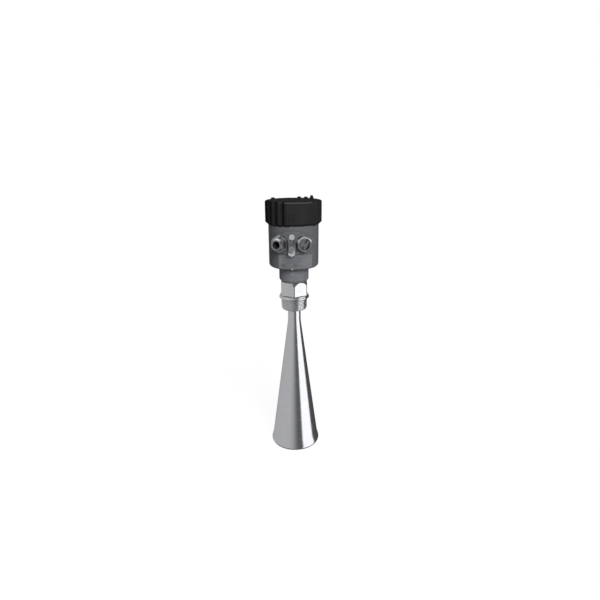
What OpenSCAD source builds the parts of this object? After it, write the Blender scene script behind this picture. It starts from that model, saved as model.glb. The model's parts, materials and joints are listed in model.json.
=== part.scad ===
// Radar level transmitter: a turnable instrument head with a screw-on lid,
// a hexagonal process fitting with a taper thread, and a conical horn antenna.
// Millimetres. The origin is the centre of the sealing face under the collar,
// +Z points up the instrument, and the cable entries face -Y.

/* [Process fitting] */
// Width of the hexagon across its flats
hex_af = 38; // [36:0.5:43]
// Height of the hexagon
hex_h = 23; // [14:1:30]
// Turn of the hexagon's front corner about the instrument's axis
hex_turn = 2; // [0:1:59]
// Diameter of the collar that seals against the vessel
collar_d = 44.3; // [43:0.1:60]
// Thickness of the collar
collar_t = 2; // [1:0.5:5]
// Length of the process thread
thread_len = 18; // [14:1:30]
// Crest diameter of the process thread at the collar
thread_d = 38.6; // [34:0.1:41]
// Diameter lost along each millimetre of the taper thread
thread_taper = 0.0625; // [0:0.0025:0.1]
// Pitch of the process thread
thread_pitch = 2.2; // [1.5:0.1:3]
// Depth of the process thread
thread_depth = 1.3; // [0.6:0.1:1.6]
// Length of the thread's plain tapered nose
thread_nose = 3.5; // [2:0.5:5]
// Depth of the corner chamfer on the hexagon
hex_chamfer = 1; // [0.5:0.1:2]

/* [Horn antenna] */
// Outer diameter of the horn's straight neck
horn_neck_d = 19; // [18:0.1:24]
// Length of the neck below the thread
horn_neck_len = 18.2; // [10:0.1:40]
// Outer diameter of the cone at its lower end
horn_cone_d = 70.7; // [50:0.1:90]
// Height of the cone
horn_cone_len = 193.4; // [120:0.1:260]
// Outer diameter of the mouth
horn_mouth_d = 75.5; // [72:0.1:100]
// Height of the flare between the cone and the rim
horn_flare = 8.4; // [4:0.1:14]
// Height of the straight rim at the mouth
horn_rim = 3.5; // [2:0.1:8]
// Wall of the horn
horn_wall = 1.5; // [1:0.1:2.5]
// Depth of the horn's neck inside the fitting
horn_socket = 12; // [6:1:14]

/* [Swivel] */
// Diameter of the spigot that the head turns on
spigot_d = 30; // [28:0.5:32]
// Radial running clearance of the spigot in the neck
swivel_clearance = 0.05; // [0.02:0.01:0.1]
// Height of the gap between the hexagon and the head's neck
neck_gap = 0.3; // [0.3:0.1:1]
// Width of the groove that the locking screw runs in
lock_groove_w = 6; // [5:0.5:7]
// Depth of that groove
lock_groove_depth = 1; // [0.5:0.1:2]
// Diameter of the stop pin
stop_pin_d = 3; // [2:0.5:4]
// How far the stop pin's axis lies outside the spigot
stop_pin_out = 3.2; // [2.6:0.1:3.6]
// Width of the stop ring's tab
stop_tab_w = 5.6; // [4:0.1:6]
// Thickness of the stop ring
stop_ring_t = 2; // [1.5:0.5:3]

/* [Head] */
// Length of the neck up to the head's underside
neck_len = 22.7; // [21.5:0.1:40]
// Radius of the head's lower corner
head_corner = 4.6; // [3:0.1:9]
// Wall of the head
head_wall = 4.3; // [3:0.1:5]
// Thickness of the head's floor
head_floor = 7; // [6:0.5:10]
// Diameter of the neck
neck_d = 43; // [42:0.5:46]
// Diameter of the neck at its lower end
neck_foot_d = 37.6; // [36:0.1:40]
// Height of the tapered foot of the neck
neck_foot_h = 3.6; // [2:0.1:6]
// Width of the shadow groove between the head and the neck
shadow_groove_w = 2; // [1:0.1:3]
// Depth of that groove
shadow_groove_depth = 0.9; // [0.4:0.1:1.5]
// Height of the threaded collar inside the lid
lid_collar_h = 20; // [19:0.5:24]

/* [Lid] */
// Outer diameter of the lid, which sets the head's diameter inside it
lid_d = 80; // [71:0.1:88]
// Wall of the lid's skirt
lid_skirt_t = 3.9; // [3:0.1:5]
// Height of the lid
lid_h = 32.2; // [32:0.1:40]
// Radius of the lid's top edge
lid_edge = 2.6; // [1:0.1:3]
// Height of the chamfered lower edge
lid_chamfer_h = 3; // [2:0.1:6]
// Thickness of the lid's top
lid_top_t = 4.2; // [3:0.1:5]
// Diameter of one grip rib
rib_d = 6; // [4.5:0.5:7]
// How far the ribs stand out of the lid's side
rib_proud = 0.6; // [0.3:0.1:1]
// How far the ribs rise above the lid's top
rib_rise = 1.6; // [0.5:0.1:3]
// How far the ribs reach below the lid's smooth foot
rib_drop = 0.9; // [0.5:0.1:1.2]
// Number of rib groups
rib_groups = 2; // [2:1:4]
// Ribs in each group
ribs_per_group = 3; // [2:1:4]
// Angle between neighbouring ribs
rib_step = 16; // [14:1:18]
// Angle of the first group's middle rib from the front
rib_turn = -25.5; // [-45:0.5:45]
// Diameter of the grooves beside the ribs
groove_d = 4.8; // [3:0.1:5]
// Height of the sealing-wire lug above the lid's top
lug_rise = 4.2; // [3:0.1:6]
// Pitch of the lid's thread
lid_pitch = 2; // [1.5:0.1:2.5]
// Thickness of the lid's gasket
gasket_t = 2; // [1.5:0.1:2.2]

/* [Cable entries] */
// Distance between the two entries' axes at their sealing faces
entry_spacing = 30; // [29:0.5:33]
// Clearance between the electronics insert and the entry holes above it
entry_clear = 0.5; // [0.3:0.1:10]
// Depth of the entries' axes below the lid
entry_depth = 23; // [20.5:0.1:40]
// How far the entries' sealing faces stand out of the head's side
entry_proud = 2.6; // [2.3:0.1:4]
// Diameter of the cast boss round an entry
entry_boss_d = 26.4; // [26:0.1:28]
// Diameter of the threaded entry hole
entry_hole_d = 20; // [16:0.5:20]
// Width of the gland's hexagon across its flats
gland_af = 22; // [21:0.5:24]
// Thickness of the gland's hexagon
gland_hex_t = 4.6; // [3:0.1:7]
// Diameter of the cable hole
cable_hole_d = 10; // [6:0.5:10]
// Wall of the gland's cap nut at its flats
cap_nut_wall = 0.9; // [0.8:0.1:2]
// Length of the gland's cap nut
cap_nut_len = 7.6; // [7:0.1:12]
// Diameter of the gland's outer thread
gland_thread_d = 15.6; // [15:0.1:16]
// Width of the blind plug's hexagon across its flats
plug_af = 20; // [19:0.5:22]
// Thickness of the blind plug's head
plug_head_t = 6.4; // [4:0.1:8]
// Thickness of the flat sealing rings under the gland and the plug
entry_seal_t = 0.8; // [0.5:0.1:1.5]

/* [Entry pad] */
// How far the pad stands out of the head's side
pad_proud = 2; // [1.2:0.1:2.2]
// Half the height of the lens-shaped pad at the front
pad_half_h = 16.2; // [15:0.1:18]
// Radius of the pad's upper and lower edges
pad_edge_r = 45; // [40:1:60]

/* [Ground terminal and breather] */
// Depth of the ground terminal's screw below the entries' axes
ground_drop = 6.5; // [5.5:0.1:7]
// Diameter of the ground screw's head
ground_head_d = 8; // [7:0.5:9]
// Width of the ground clamp
ground_clamp_w = 8.6; // [8:0.1:10]
// Height of the breather above the entries' axes
breather_rise = 9.2; // [9:0.1:10.5]
// Diameter of the breather's cap
breather_d = 8.2; // [6:0.1:9]

/* [Electronics] */
// Height of the two posts under the electronics insert
insert_post_h = 6.6; // [6:0.1:12]
// Height of the electronics insert
insert_h = 13.9; // [12:0.1:15]
// Width of the terminal block
terminal_block_w = 34; // [28:1:38]
// Number of terminals
terminals = 4; // [2:1:5]
// Diameter of the radar module
radar_module_d = 26; // [22:1:27]
// Height of the radar module
radar_module_h = 10.4; // [8:0.1:10.6]

/* [Hidden] */

$fn = 96;
// Clearance between pieces of different bodies, and the overlap that joins shapes of one piece
clear = 0.3;
weld = 0.4;
// Clearance between pieces of one body that fit into each other
fit = 0.05;

steel_colour = [0.78, 0.79, 0.80];
nickel_colour = [0.72, 0.72, 0.70];
grey_colour = [0.44, 0.45, 0.47];
black_colour = [0.09, 0.09, 0.10];
rubber_colour = [0.05, 0.05, 0.05];
ptfe_colour = [0.93, 0.93, 0.90];
potting_colour = [0.16, 0.18, 0.22];
green_colour = [0.20, 0.46, 0.30];
breather_colour = [0.80, 0.80, 0.78];

// Process fitting, from the sealing face up and down
hex_top_z = collar_t + hex_h;
hex_corner_r = hex_af / 2 / cos(30);
thread_end_z = -thread_len;
thread_turns = floor((thread_len - thread_nose) / thread_pitch);
nose_drop = 0.3;

// Swivel
spigot_r = spigot_d / 2;
neck_base_z = hex_top_z + neck_gap;
head_base_z = neck_base_z + neck_len;
floor_z = head_base_z + head_floor;
stop_ring_z = floor_z + 0.2;
snap_ring_z = stop_ring_z + stop_ring_t + fit;
snap_ring_t = 1.2;
snap_ring_gap = 6;
snap_groove_depth = 1;
spigot_top_z = snap_ring_z + snap_ring_t + 2;
seal_section = 1.5;
seal_rise = 4.5;
seal_pitch = 4.5;
swivel_seal_zs = [neck_base_z + seal_rise, neck_base_z + seal_rise + seal_pitch];
stop_pin_r = spigot_r + stop_pin_out;
stop_pin_depth = 4;
stop_ring_r = stop_pin_r - stop_pin_d / 2 - clear;
lock_rise = 14.8;
lock_z = neck_base_z + lock_rise;
lock_screw_d = 5;
lock_recess_d = 7.6;
lock_recess_depth = 2.4;

// Waveguide and emitter inside the fitting and the horn
waveguide_r = 8.5;
waveguide_wall = 1.5;
waveguide_top_z = spigot_top_z + 2.6;
emitter_flange_z = thread_end_z + horn_socket;
emitter_r = horn_neck_d / 2 - horn_wall - fit;
emitter_tip_len = 34;
emitter_upper_tip = 20;
emitter_tip_r = 0.4;
emitter_seal_rise = 5;

// Horn
horn_neck_z = thread_end_z - horn_neck_len;
horn_cone_z = horn_neck_z - horn_cone_len;
horn_flare_z = horn_cone_z - horn_flare;
horn_mouth_z = horn_flare_z - horn_rim;

// Head
lid_r = lid_d / 2;
lid_mouth_r = lid_r - lid_skirt_t;
head_r = lid_mouth_r - clear;
head_bore_r = head_r - head_wall;
insert_z = floor_z + insert_post_h;
insert_top_z = insert_z + insert_h;
entry_z = insert_top_z + entry_clear + entry_hole_d / 2;
head_top_z = entry_z + entry_depth;
collar_top_z = head_top_z + lid_collar_h;
lid_thread_r = head_r - 0.5;
lid_thread_depth = 0.8;
lid_thread_core_r = lid_thread_r - lid_thread_depth;
lid_thread_turns = 6;
lid_thread_z = collar_top_z - 1.6 - lid_thread_turns * lid_pitch;
inner_corner = 4;
nub_r = 1.7;
nub_rise = 2.4;
nub_out = 0.4;

// Lid
lid_base_z = head_top_z + clear;
lid_top_z = lid_base_z + lid_h;
lid_bore_r = lid_thread_r + clear;
lid_foot_r = lid_mouth_r + 0.6;
gasket_outer_r = lid_thread_core_r - clear;
gasket_inner_r = head_bore_r + clear;
gasket_top_z = collar_top_z + gasket_t;
rib_base_z = lid_base_z - rib_drop;
rib_r = rib_d / 2;
rib_axis_r = lid_r + rib_proud - rib_r;
groove_axis_r = lid_r + 0.6;
lug_group = 1;
lone_rib_share = 0.55;
lug_hole_d = 1.8;

// Entries, measured outwards from the axis
entry_face = head_r + entry_proud;
entry_angle = asin(entry_spacing / 2 / entry_face);
gland_seat = entry_face + entry_seal_t;
gland_hex_end = gland_seat + gland_hex_t;
gland_thread_len = 4.6;
gland_thread_end = gland_hex_end + gland_thread_len;
cap_nut_start = gland_hex_end + 0.6;
cap_nut_end = cap_nut_start + cap_nut_len;
cap_nut_bore_r = gland_thread_d / 2 + clear;
cap_nut_af = 2 * (cap_nut_bore_r + cap_nut_wall);
cap_nut_front = 1.6;
cap_nut_hole_r = cable_hole_d / 2 + 0.3;
gland_washer_t = 0.8;
gland_washer_end = cap_nut_end - cap_nut_front - fit;
gland_washer_start = gland_washer_end - gland_washer_t;
insert_bush_end = gland_washer_start - fit;
insert_bush_start = gland_hex_end - 1.4;
insert_bush_r = gland_thread_d / 2 - 1.4;
entry_stub_in = 1.5;
entry_stub_len = entry_face - head_bore_r + entry_stub_in;
plug_seat = entry_face + entry_seal_t;
plug_end = plug_seat + plug_head_t;

// Ground terminal and breather, measured outwards from the axis along the front
pad_face_r = head_r + pad_proud;
ground_z = entry_z - ground_drop;
breather_z = entry_z + breather_rise;
ground_face = pad_face_r + 2.6;
ground_clamp_t = 1.4;
ground_washer_t = 1.2;
ground_screw_d = 5;
ground_head_start = ground_face + ground_clamp_t + ground_washer_t;
ground_head_t = 3;
ground_clamp_foot = 4;
ground_clamp_drop = 10;
ground_clamp_slope = 2.4;
ground_clamp_lip = 3.2;
breather_face = pad_face_r + 0.6;
breather_stem_d = 5.8;
breather_t = 1.5;

// Electronics
insert_r = head_bore_r - 0.6;
insert_pocket_r = radar_module_d / 2 + 1.5;
insert_lid_t = 3.2;
insert_post_inset = 6;
insert_post_x = head_bore_r - insert_post_inset;
insert_post_d = 7.6;
insert_screw_d = 3.5;
terminal_block_d = 12;
terminal_block_h = 9;
terminal_block_y = 13;
terminal_pitch = terminal_block_w / (terminals + 0.6);
terminal_bevel = 2.83;
terminal_well = 4.6;
terminal_screw_rise = 5.1;
terminal_screw_h = 2.5;
slot_depth = 0.8;
slot_w = 0.8;
insert_screw_head_r = 3.1;
insert_screw_head_t = 2.2;
inner_ground_inset = 6.5;
inner_ground_x = insert_post_x - inner_ground_inset;
inner_ground_y = 6;
ground_plate_r = 4.6;
ground_plate_t = 1;

// ---------------------------------------------------------------- helpers

// Turns a shape that points up +Z so that it points out of the head at an angle from the front
module outwards(angle, z) {
    translate([0, 0, z])
        rotate([0, 0, angle])
            rotate([90, 0, 0])
                children();
}

// A ring or disc between two distances along +Z
module ring(outer_r, inner_r, start, end) {
    difference() {
        translate([0, 0, start])
            cylinder(r = outer_r, h = end - start);
        translate([0, 0, start - weld])
            cylinder(r = inner_r, h = end - start + 2 * weld);
    }
}

// A round bar between two distances along +Z
module bar(r, start, end) {
    translate([0, 0, start])
        cylinder(r = r, h = end - start);
}

// A hexagonal prism with chamfered corners at its far end; one corner points along +Y
module hex_bar(af, start, end, chamfer) {
    corner_r = af / 2 / cos(30);
    intersection() {
        translate([0, 0, start])
            rotate([0, 0, 90])
                cylinder(r = corner_r, h = end - start, $fn = 6);
        rotate_extrude()
            polygon([
                [0, start],
                [corner_r + 1, start],
                [corner_r + 1, end - chamfer * (corner_r + 1 - af / 2) / (corner_r - af / 2) * 0.58],
                [af / 2, end],
                [0, end]
            ]);
    }
}

// Half of a cup's section, with a round lower corner
module cup_profile(r, low, high, corner) {
    translate([0, low + corner])
        square([r, high - low - corner]);
    translate([0, low])
        square([r - corner, corner + weld]);
    translate([r - corner, low + corner])
        circle(r = corner);
}

// Half of a cap's section, with a round upper corner and a chamfered foot
module cap_profile(r, foot_r, low, high, corner, foot_h) {
    polygon([
        [0, low],
        [foot_r, low],
        [r, low + foot_h],
        [r, high - corner],
        [0, high - corner]
    ]);
    translate([0, high - corner - weld])
        square([r - corner, corner + weld]);
    translate([r - corner, high - corner])
        circle(r = corner);
}

// An O-ring on the axis
module o_ring(middle_r, section, z) {
    translate([0, 0, z])
        rotate_extrude()
            translate([middle_r, 0])
                circle(d = section, $fn = 32);
}

// ---------------------------------------------------------------- process side

// Section of the taper thread: one ridge for each turn, then the plain nose
function thread_crest(z) = thread_d / 2 + z * thread_taper / 2;
function thread_ridge(i) = let (z = -1 - i * thread_pitch) [
    [thread_crest(z) - thread_depth, z],
    [thread_crest(z - thread_pitch * 0.42), z - thread_pitch * 0.42],
    [thread_crest(z - thread_pitch * 0.58), z - thread_pitch * 0.58]
];
module thread_profile() {
    nose_z = thread_end_z + thread_nose;
    nose_r = thread_crest(nose_z) - thread_depth;
    ridges = [for (i = [0:thread_turns - 1]) each thread_ridge(i)];
    polygon(concat(
        [[0, 0.01 + weld], [thread_crest(0) - thread_depth, weld]],
        ridges,
        [[nose_r, nose_z], [nose_r - nose_drop, thread_end_z], [0, thread_end_z]]
    ));
}

module process_fitting() {
    color(steel_colour)
        difference() {
            union() {
                rotate_extrude()
                    thread_profile();
                cylinder(d = collar_d, h = collar_t);
                rotate([0, 0, hex_turn])
                    hex_bar(hex_af, collar_t - weld, hex_top_z, hex_chamfer);
                bar(spigot_r, hex_top_z - weld, spigot_top_z);
            }
            // Seat of the horn's neck, and the bore of the waveguide
            bar(horn_neck_d / 2 + fit, thread_end_z - 1, thread_end_z + horn_socket);
            bar(waveguide_r + fit, thread_end_z, spigot_top_z + 1);
            // Grooves of the two seals, the locking screw and the snap ring
            for (z = swivel_seal_zs)
                ring(spigot_r + 1, spigot_r - seal_section - 0.3, z - seal_section * 0.65, z + seal_section * 0.65);
            ring(spigot_r + 1, spigot_r - lock_groove_depth, lock_z - lock_groove_w / 2, lock_z + lock_groove_w / 2);
            ring(spigot_r + 1, spigot_r - snap_groove_depth, snap_ring_z, snap_ring_z + snap_ring_t + fit);
            // Flat that keys the stop ring
            translate([-spigot_r, -spigot_r - 1, stop_ring_z - fit])
                cube([2 * spigot_r, 2, stop_ring_t + fit]);
        }
}

module horn_antenna() {
    neck_r = horn_neck_d / 2;
    cone_r = horn_cone_d / 2;
    mouth_r = horn_mouth_d / 2;
    top_z = thread_end_z + horn_socket - fit;
    color(steel_colour)
        rotate_extrude()
            polygon([
                [neck_r, top_z],
                [neck_r, horn_neck_z],
                [cone_r, horn_cone_z],
                [mouth_r, horn_flare_z],
                [mouth_r, horn_mouth_z],
                [mouth_r - horn_wall, horn_mouth_z],
                [mouth_r - horn_wall, horn_flare_z + 0.3],
                [cone_r - horn_wall, horn_cone_z + 0.2],
                [neck_r - horn_wall, horn_neck_z - 0.1],
                [neck_r - horn_wall, top_z]
            ]);
}

module emitter_cone() {
    seal_z = thread_end_z + emitter_seal_rise;
    color(ptfe_colour)
        difference() {
            rotate_extrude()
                polygon([
                    [0, emitter_flange_z + emitter_upper_tip],
                    [emitter_tip_r, emitter_flange_z + emitter_upper_tip],
                    [waveguide_r - waveguide_wall - fit, emitter_flange_z + 1],
                    [waveguide_r - waveguide_wall - fit, emitter_flange_z - 2 * fit],
                    [emitter_r, emitter_flange_z - 2 * fit],
                    [emitter_r, horn_neck_z + 2],
                    [emitter_tip_r, horn_neck_z + 2 - emitter_tip_len],
                    [0, horn_neck_z + 2 - emitter_tip_len]
                ]);
            ring(emitter_r + 1, emitter_r - 1.6, seal_z - 1, seal_z + 1);
        }
}

module emitter_seal() {
    color(rubber_colour)
        o_ring(emitter_r - 0.8, seal_section, thread_end_z + emitter_seal_rise);
}

module waveguide_tube() {
    color(nickel_colour)
        ring(waveguide_r, waveguide_r - waveguide_wall, emitter_flange_z, waveguide_top_z);
}

module radar_module() {
    r = radar_module_d / 2;
    color(potting_colour)
        difference() {
            union() {
                bar(r, spigot_top_z, spigot_top_z + radar_module_h - 1);
                translate([0, 0, spigot_top_z + radar_module_h - 1 - weld])
                    cylinder(r1 = r - 0.2, r2 = r - 1.6, h = 1 + weld);
            }
            bar(waveguide_r + fit, spigot_top_z - 1, waveguide_top_z + fit);
            // Four notches for the module's clips
            for (i = [0:3])
                rotate([0, 0, 45 + 90 * i])
                    translate([r, 0, spigot_top_z - 1])
                        cylinder(r = 1.5, h = radar_module_h + 3, $fn = 32);
        }
}

module swivel_seals() {
    color(rubber_colour)
        for (z = swivel_seal_zs)
            o_ring(spigot_r - clear + 0.05 - seal_section / 2, seal_section, z);
}

module swivel_stop_ring() {
    tab_end = stop_pin_r + stop_pin_d / 2 + clear;
    color(nickel_colour) {
        ring(stop_ring_r, spigot_r + fit, stop_ring_z, stop_ring_z + stop_ring_t);
        // Tab that meets the stop pin
        translate([-stop_tab_w / 2, -tab_end, stop_ring_z])
            cube([stop_tab_w, tab_end - spigot_r - 2 * clear, stop_ring_t]);
        // Key on the spigot's flat
        intersection() {
            bar(stop_ring_r, stop_ring_z, stop_ring_z + stop_ring_t);
            translate([-spigot_r / 2, -stop_ring_r, stop_ring_z])
                cube([spigot_r, stop_ring_r - spigot_r + 1 - fit, stop_ring_t]);
        }
    }
}

module snap_ring() {
    inner_r = spigot_r - snap_groove_depth + fit;
    color(steel_colour)
        difference() {
            ring(spigot_r + 1.2, inner_r, snap_ring_z + fit, snap_ring_z + snap_ring_t);
            translate([-snap_ring_gap / 2, inner_r - 2, snap_ring_z - 1])
                cube([snap_ring_gap, snap_ring_gap, snap_ring_t + 2]);
        }
}

// ---------------------------------------------------------------- head

// Lens-shaped pad that carries both entries, standing out of the head's front
module entry_pad() {
    intersection() {
        translate([0, 0, entry_z - pad_half_h - 2])
            cylinder(r = pad_face_r, h = 2 * pad_half_h + 4);
        translate([0, 0, entry_z + 1])
            rotate([90, 0, 0])
                linear_extrude(height = pad_face_r + 1)
                    intersection() {
                        translate([0, pad_half_h - pad_edge_r])
                            circle(r = pad_edge_r, $fn = 180);
                        translate([0, pad_edge_r - pad_half_h])
                            circle(r = pad_edge_r, $fn = 180);
                        square([2 * (head_r - 4), 3 * pad_half_h], center = true);
                    }
    }
}

// Threaded collar under the lid
function lid_ridge(i) = let (z = lid_thread_z + i * lid_pitch) [
    [lid_thread_core_r, z],
    [lid_thread_r, z + lid_pitch * 0.4],
    [lid_thread_r, z + lid_pitch * 0.6],
    [lid_thread_core_r, z + lid_pitch]
];
module lid_collar_profile() {
    polygon(concat(
        [[0, head_top_z - weld], [lid_thread_core_r, head_top_z - weld]],
        [for (i = [0:lid_thread_turns - 1]) each lid_ridge(i)],
        [[lid_thread_core_r, collar_top_z], [0, collar_top_z]]
    ));
}

module housing_outside() {
    rotate_extrude()
        cup_profile(head_r, head_base_z, head_top_z, head_corner);
    rotate_extrude()
        lid_collar_profile();
    // Neck with its tapered foot and the shadow groove above it
    rotate_extrude()
        polygon([
            [0, neck_base_z],
            [neck_foot_d / 2, neck_base_z],
            [neck_d / 2, neck_base_z + neck_foot_h],
            [neck_d / 2, head_base_z - shadow_groove_w],
            [neck_d / 2 - shadow_groove_depth, head_base_z - shadow_groove_w + 0.3],
            [neck_d / 2 - shadow_groove_depth, head_base_z + weld],
            [0, head_base_z + weld]
        ]);
    entry_pad();
    for (side = [-1, 1])
        outwards(side * entry_angle, entry_z) {
            bar(entry_boss_d / 2, head_bore_r, entry_face - 0.8);
            translate([0, 0, entry_face - 0.8])
                cylinder(r1 = entry_boss_d / 2, r2 = entry_boss_d / 2 - 0.8, h = 0.8);
        }
    outwards(0, ground_z)
        bar(ground_head_d / 2 + 1.6, head_bore_r, ground_face);
    outwards(0, breather_z)
        bar(breather_d / 2 + 0.7, head_bore_r, breather_face);
    // Small cast nub on the lower corner
    outwards(0, head_base_z + nub_rise) {
        bar(nub_r, head_bore_r - head_corner / 2, head_r + nub_out - nub_r / 2);
        translate([0, 0, head_r + nub_out - nub_r / 2])
            cylinder(r1 = nub_r, r2 = nub_r / 2, h = nub_r / 2);
    }
}

module housing_body() {
    color(grey_colour)
        difference() {
            union() {
                difference() {
                    housing_outside();
                    // Terminal compartment, open at the top
                    rotate_extrude()
                        cup_profile(head_bore_r, floor_z, collar_top_z + 1, inner_corner);
                }
                // Posts under the electronics insert
                for (side = [-1, 1])
                    translate([side * insert_post_x, 0, floor_z - 1])
                        cylinder(d = insert_post_d, h = insert_z - floor_z + 1);
            }
            // Bore that turns on the spigot
            bar(spigot_r + swivel_clearance, neck_base_z - 1, floor_z + 1);
            // Entry holes
            for (side = [-1, 1])
                outwards(side * entry_angle, entry_z)
                    bar(entry_hole_d / 2, head_bore_r - 4, entry_face + 1);
            // Holes of the breather, the ground screw, the insert's screws, the stop pin and the locking screw
            outwards(0, breather_z)
                bar(breather_stem_d / 2, head_bore_r - 2, breather_face + 1);
            outwards(0, ground_z)
                bar(ground_screw_d / 2, head_bore_r + 1.2, ground_face + 1);
            for (side = [-1, 1])
                translate([side * insert_post_x, 0, floor_z + 0.6])
                    cylinder(d = insert_screw_d, h = insert_z);
            translate([0, stop_pin_r, floor_z - stop_pin_depth])
                cylinder(d = stop_pin_d, h = stop_pin_depth + head_floor);
            outwards(0, lock_z) {
                bar(lock_screw_d / 2, spigot_r - 1, neck_d / 2 + 1);
                bar(lock_recess_d / 2, neck_d / 2 - lock_recess_depth, neck_d / 2 + 1);
            }
        }
}

module swivel_stop_pin() {
    color(steel_colour)
        translate([0, stop_pin_r, floor_z - stop_pin_depth])
            cylinder(d = stop_pin_d - 2 * fit, h = stop_ring_z + stop_ring_t - floor_z + stop_pin_depth);
}

module locking_screw() {
    head_start = neck_d / 2 - lock_recess_depth + 0.4;
    color(steel_colour)
        outwards(0, lock_z)
            difference() {
                union() {
                    bar(lock_screw_d / 2 - fit, spigot_r - lock_groove_depth + clear, head_start);
                    bar(lock_screw_d / 2 - fit, head_start - weld, neck_d / 2 + 0.2);
                }
                translate([0, 0, neck_d / 2 - 2])
                    cylinder(r = 1.45, h = 3, $fn = 6);
            }
}

module electronics_insert() {
    color(potting_colour)
        difference() {
            union() {
                bar(insert_r, insert_z, insert_top_z - 1);
                translate([0, 0, insert_top_z - 1 - weld])
                    cylinder(r1 = insert_r - 0.2, r2 = insert_r - 1.2, h = 1 + weld);
            }
            // Pocket over the radar module
            bar(insert_pocket_r, insert_z - 1, insert_top_z - insert_lid_t);
            // Holes of the two screws
            for (side = [-1, 1])
                translate([side * insert_post_x, 0, insert_z - 1])
                    cylinder(d = insert_screw_d + 0.6, h = insert_h + 2);
            // Grip notches in the rim
            for (i = [0:3])
                rotate([0, 0, 45 + 90 * i])
                    translate([insert_r, 0, insert_z - 1])
                        cylinder(r = 2.2, h = insert_h + 2, $fn = 32);
        }
}

// A pan-head screw along +Z, with a cross recess
module pan_screw(shank_r, shank_start, head_start, head_r, head_t) {
    difference() {
        union() {
            bar(shank_r, shank_start, head_start + weld);
            bar(head_r, head_start, head_start + head_t - 0.6);
            translate([0, 0, head_start + head_t - 0.6 - weld / 2])
                cylinder(r1 = head_r, r2 = head_r - 0.8, h = 0.6 + weld / 2);
        }
        for (turn = [0, 90])
            rotate([0, 0, turn])
                translate([-head_r * 0.62, -0.45, head_start + head_t - 1.2])
                    cube([head_r * 1.24, 0.9, 2]);
    }
}

module insert_screws() {
    color(steel_colour)
        for (side = [-1, 1])
            translate([side * insert_post_x, 0, 0])
                pan_screw(
                    insert_screw_d / 2 - fit,
                    insert_z - insert_post_h * 0.8,
                    insert_top_z,
                    insert_screw_head_r,
                    insert_screw_head_t
                );
}

module terminal_block() {
    wire_hole = 3.6;
    color(green_colour)
        difference() {
            translate([-terminal_block_w / 2, terminal_block_y - terminal_block_d / 2, insert_top_z])
                cube([terminal_block_w, terminal_block_d, terminal_block_h]);
            // Sloping front edge
            translate([0, terminal_block_y - terminal_block_d / 2, insert_top_z + terminal_block_h])
                rotate([45, 0, 0])
                    cube([terminal_block_w + 2, terminal_bevel * sqrt(2), terminal_bevel * sqrt(2)], center = true);
            for (i = [0:terminals - 1])
                translate([(i - (terminals - 1) / 2) * terminal_pitch, 0, 0]) {
                    // Wire hole in the front, screw well in the top
                    translate([0, terminal_block_y + 1, insert_top_z + 3.2])
                        rotate([90, 0, 0])
                            cylinder(d = wire_hole, h = terminal_block_d);
                    translate([0, terminal_block_y + 1, insert_top_z + terminal_well])
                        cylinder(r = 2.3, h = terminal_block_h);
                }
        }
}

module terminal_screws() {
    color(nickel_colour)
        for (i = [0:terminals - 1])
            translate([(i - (terminals - 1) / 2) * terminal_pitch, terminal_block_y + 1, 0])
                difference() {
                    bar(
                        2.2,
                        insert_top_z + terminal_screw_rise,
                        insert_top_z + terminal_screw_rise + terminal_screw_h
                    );
                    translate([-3, -slot_w / 2, insert_top_z + terminal_screw_rise + terminal_screw_h - slot_depth])
                        cube([2 * slot_w * 4, slot_w, 2 * slot_depth]);
                }
}

module inner_ground_screw() {
    color(nickel_colour)
        translate([-inner_ground_x, -inner_ground_y, 0]) {
            difference() {
                translate([0, 0, insert_top_z])
                    cylinder(r = ground_plate_r, h = ground_plate_t);
                translate([3, -0.5, insert_top_z - 1])
                    cube([3, 1, 3]);
            }
            pan_screw(2.4, insert_top_z + ground_plate_t / 2, insert_top_z + ground_plate_t, 3.6, 2.4);
        }
}

// ---------------------------------------------------------------- ground terminal and breather

module ground_clamp() {
    half = ground_clamp_w / 2;
    color(nickel_colour)
        outwards(0, ground_z)
            difference() {
                union() {
                    translate([0, 0, ground_face])
                        linear_extrude(height = ground_clamp_t)
                            polygon([
                                [-half, half],
                                [half, half],
                                [half, ground_clamp_slope - ground_clamp_drop],
                                [0, -ground_clamp_drop],
                                [-half, ground_clamp_slope - ground_clamp_drop]
                            ]);
                    // Thick foot that wraps the wire
                    translate([0, 0, ground_face])
                        linear_extrude(height = ground_clamp_foot)
                            polygon([
                                [-half, ground_clamp_slope + ground_clamp_lip - ground_clamp_drop],
                                [0, ground_clamp_lip - ground_clamp_drop],
                                [half, ground_clamp_slope + ground_clamp_lip - ground_clamp_drop],
                                [half, ground_clamp_slope - ground_clamp_drop],
                                [0, -ground_clamp_drop],
                                [-half, ground_clamp_slope - ground_clamp_drop]
                            ]);
                }
                bar(ground_screw_d / 2 + 0.2, ground_face - 1, ground_face + ground_clamp_t + 1);
            }
}

module ground_spring_washer() {
    start = ground_face + ground_clamp_t;
    color(steel_colour)
        outwards(0, ground_z)
            difference() {
                ring(ground_head_d / 2 + 0.2, ground_screw_d / 2 + 0.2, start, start + ground_washer_t);
                rotate([0, 0, 40])
                    translate([0, -0.4, start - 1])
                        cube([ground_head_d, 0.8, ground_washer_t + 2]);
            }
}

module ground_screw() {
    color(nickel_colour)
        outwards(0, ground_z)
            pan_screw(
                ground_screw_d / 2 - fit,
                head_bore_r + 1.6,
                ground_head_start,
                ground_head_d / 2,
                ground_head_t
            );
}

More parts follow.
